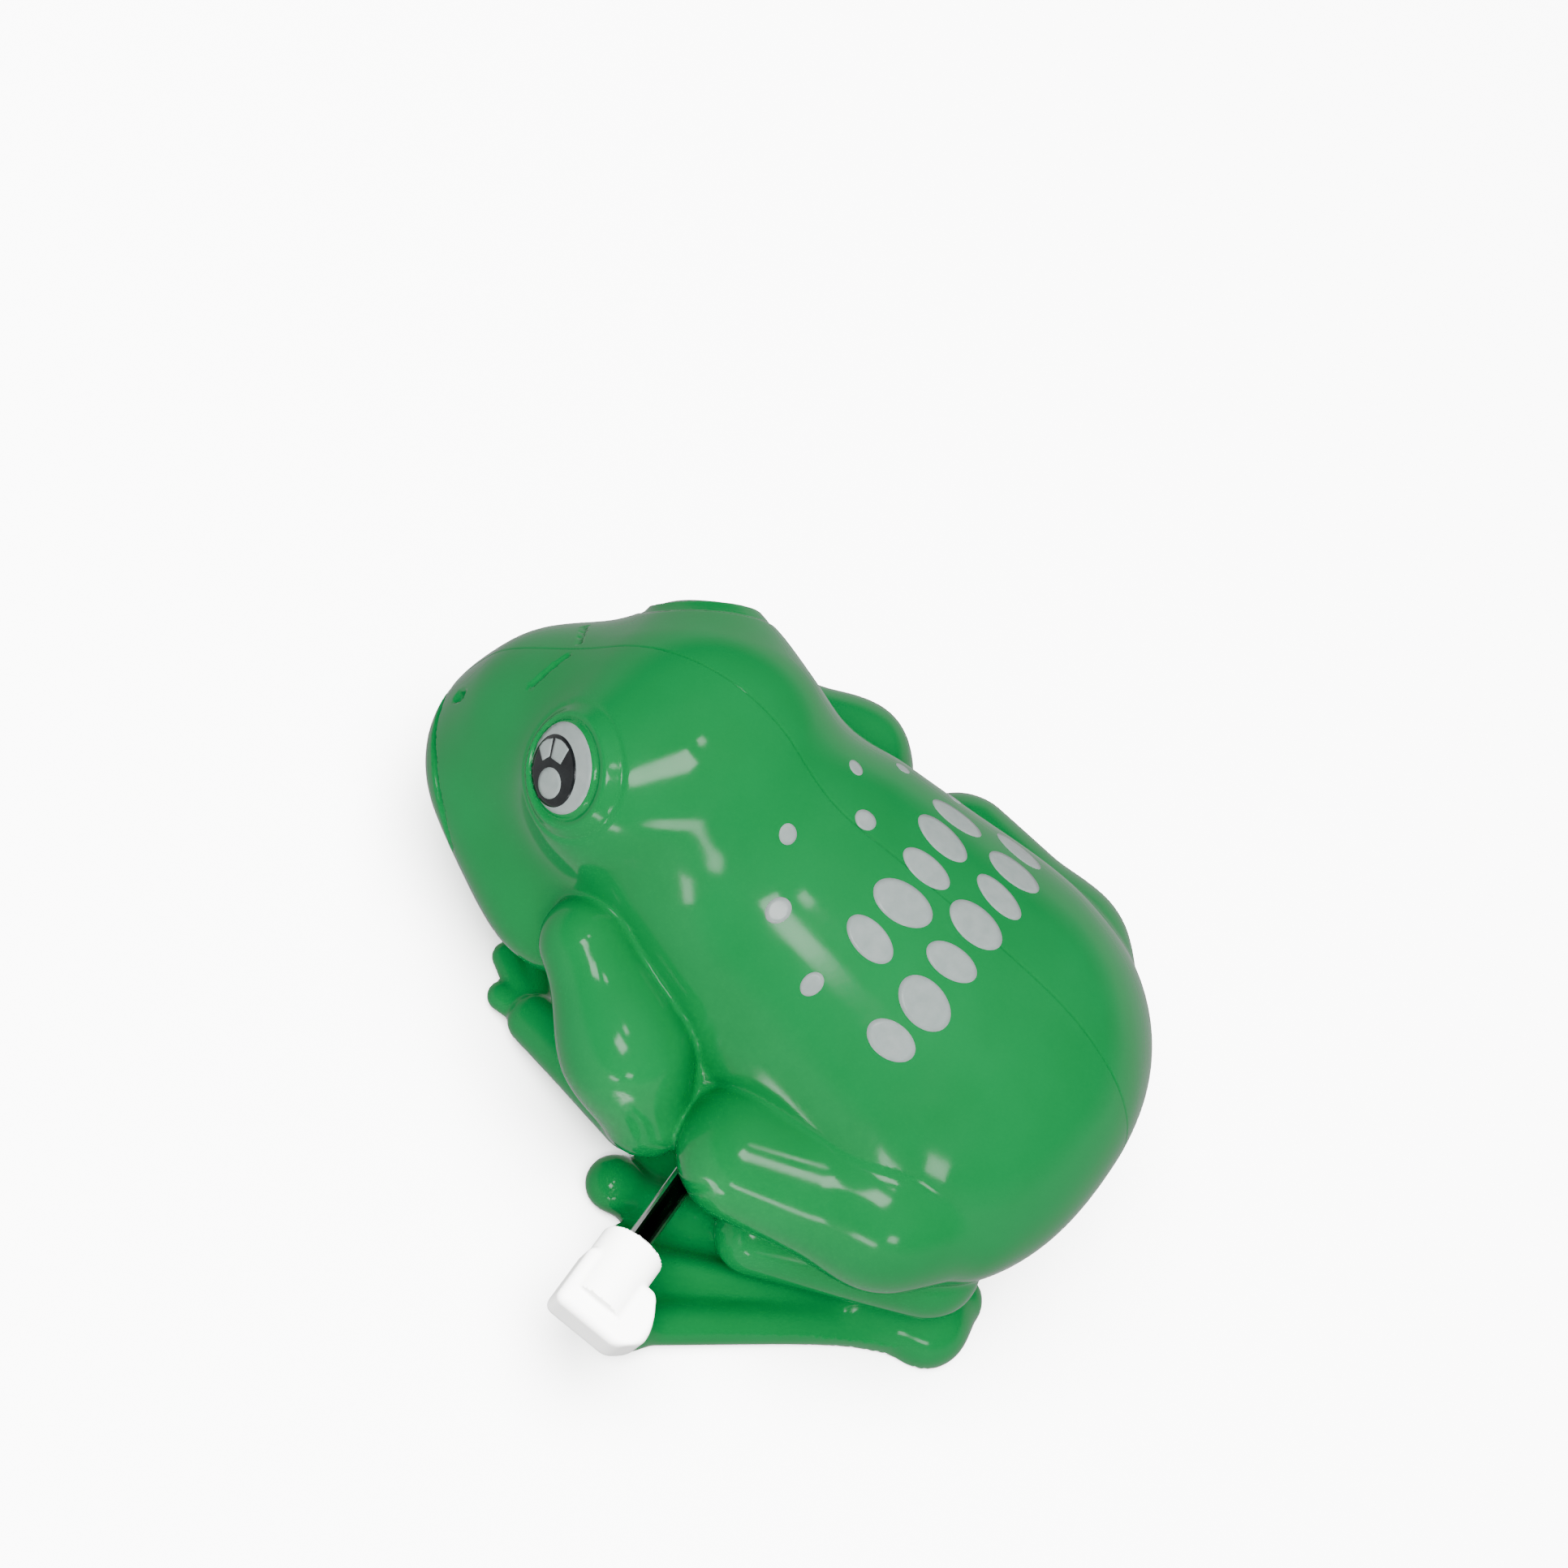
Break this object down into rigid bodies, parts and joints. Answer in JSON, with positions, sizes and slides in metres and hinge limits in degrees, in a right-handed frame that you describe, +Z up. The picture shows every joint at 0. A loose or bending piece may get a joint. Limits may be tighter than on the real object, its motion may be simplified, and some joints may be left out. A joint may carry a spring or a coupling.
{
  "type": "wind-up jumping frog toy",
  "caption": "Moulded plastic frog toy with a clockwork motor: a key on its left side winds the spring, and cranks kick the webbed feet down so that it hops.",
  "frame": {"origin": "on the ground in the frog's middle plane, on the underside of the plate between the feet, about 3 mm behind the winding shaft", "axes": "-Y the way the frog looks, +X its left side, where the key is, +Z up"},
  "size_m": [0.0808, 0.0779, 0.0417],
  "materials": {
    "green_plastic": "glossy moulded, bright green",
    "white_plastic": "white moulded",
    "case_plastic": "satin off-white",
    "nylon": "natural nylon",
    "steel": "plain bright steel",
    "spring_steel": "dark tempered steel"
  },
  "bodies": {
    "root": {"body_left": "green_plastic", "body_right": "green_plastic", "body_screw_1": "steel", "body_screw_2": "steel", "body_screw_3": "steel", "motor_case_left": "case_plastic", "motor_case_right": "case_plastic", "case_screw_1": "steel", "case_screw_2": "steel", "mainspring": "spring_steel", "second_pin": "steel", "foot_hinge_pin": "steel"},
    "winder": {"winding_shaft": "steel", "winding_key": "white_plastic", "ratchet_wheel": "steel"},
    "great_wheel": {"great_wheel": "nylon", "click_spring": "spring_steel"},
    "click": {"click": "steel"},
    "second_wheel": {"second_wheel": "nylon"},
    "cranks": {"third_shaft": "steel", "third_pinion": "nylon", "crank_left": "nylon", "crank_right": "nylon"},
    "feet": {"foot_bridge": "green_plastic", "foot_left": "green_plastic", "foot_right": "green_plastic"}
  },
  "joints": [
    {"name": "winding", "type": "hinge", "parent": "root", "child": "winder", "pos_m": [0, -0.0031, 0.0113], "axis": [1, 0, 0], "continuous": true},
    {"name": "great_wheel_spin", "type": "hinge", "parent": "root", "child": "great_wheel", "pos_m": [0.0009, -0.0031, 0.0113], "axis": [1, 0, 0], "continuous": true},
    {"name": "click_lift", "type": "hinge", "parent": "great_wheel", "child": "click", "pos_m": [-0.0007, -0.00734, 0.01375], "axis": [1, 0, 0], "range_deg": [0, 12], "stiffness_Nm_per_rad": 0.0002},
    {"name": "second_wheel_spin", "type": "hinge", "parent": "root", "child": "second_wheel", "pos_m": [0.002, 0.00183, 0.0176], "axis": [1, 0, 0], "continuous": true},
    {"name": "crank_spin", "type": "hinge", "parent": "root", "child": "cranks", "pos_m": [0, 0.00934, 0.02034], "axis": [1, 0, 0], "continuous": true},
    {"name": "foot_kick", "type": "hinge", "parent": "root", "child": "feet", "pos_m": [0, 0.017, 0.0052], "axis": [1, 0, 0], "range_deg": [0, 17]}
  ],
  "couplings": [
    {"joint": "second_wheel_spin", "follows": "great_wheel_spin", "ratio": -3},
    {"joint": "crank_spin", "follows": "great_wheel_spin", "ratio": 9}
  ]
}
